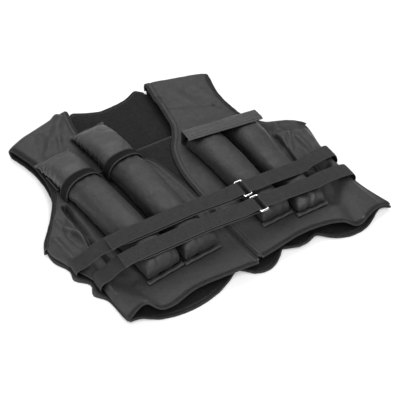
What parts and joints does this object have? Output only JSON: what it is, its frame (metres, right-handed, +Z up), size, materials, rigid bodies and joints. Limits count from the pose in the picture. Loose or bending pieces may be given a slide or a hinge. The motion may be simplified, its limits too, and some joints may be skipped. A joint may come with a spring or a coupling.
{
  "type": "weighted vest",
  "caption": "Weighted vest laid on its back: padded panels, long weight pockets with sandbags, flaps and side straps drawn through wire rings.",
  "frame": {"origin": "middle of the vest's extent in plan, on the surface that it lies on", "axes": "+X towards the wearer's left side, +Y towards the neck, +Z up, away from the surface"},
  "size_m": [0.5484, 0.5212, 0.0765],
  "materials": {
    "nylon_cloth": "black coated nylon with a soft sheen, lightly creased",
    "lining": "dull black brushed mesh",
    "binding_tape": "matt black ribbed tape",
    "webbing": "black woven webbing",
    "wire": "bright plated steel wire"
  },
  "bodies": {
    "root": {"back_panel": "lining", "front_panel_right": "nylon_cloth", "front_panel_left": "nylon_cloth", "front_underlap": "lining", "armhole_binding_right": "binding_tape", "armhole_binding_left": "binding_tape", "edge_piping_right": "binding_tape", "edge_piping_left": "binding_tape", "hem_binding_right": "binding_tape", "hem_binding_left": "binding_tape", "hem_binding_back": "binding_tape", "neck_binding": "binding_tape", "pocket_tube_1": "nylon_cloth", "pocket_tube_2": "nylon_cloth", "pocket_tube_3": "nylon_cloth", "pocket_tube_4": "nylon_cloth", "weight_bag_1": "nylon_cloth", "weight_bag_2": "nylon_cloth", "weight_bag_3": "nylon_cloth", "weight_bag_4": "nylon_cloth", "mouth_band_1": "webbing", "mouth_band_2": "webbing", "flap_open": "nylon_cloth", "flap_closed": "nylon_cloth", "strap_upper_right": "webbing", "strap_upper_left": "webbing", "strap_lower_right": "webbing", "strap_lower_left": "webbing", "ring_upper": "wire", "ring_lower": "wire"}
  },
  "joints": []
}
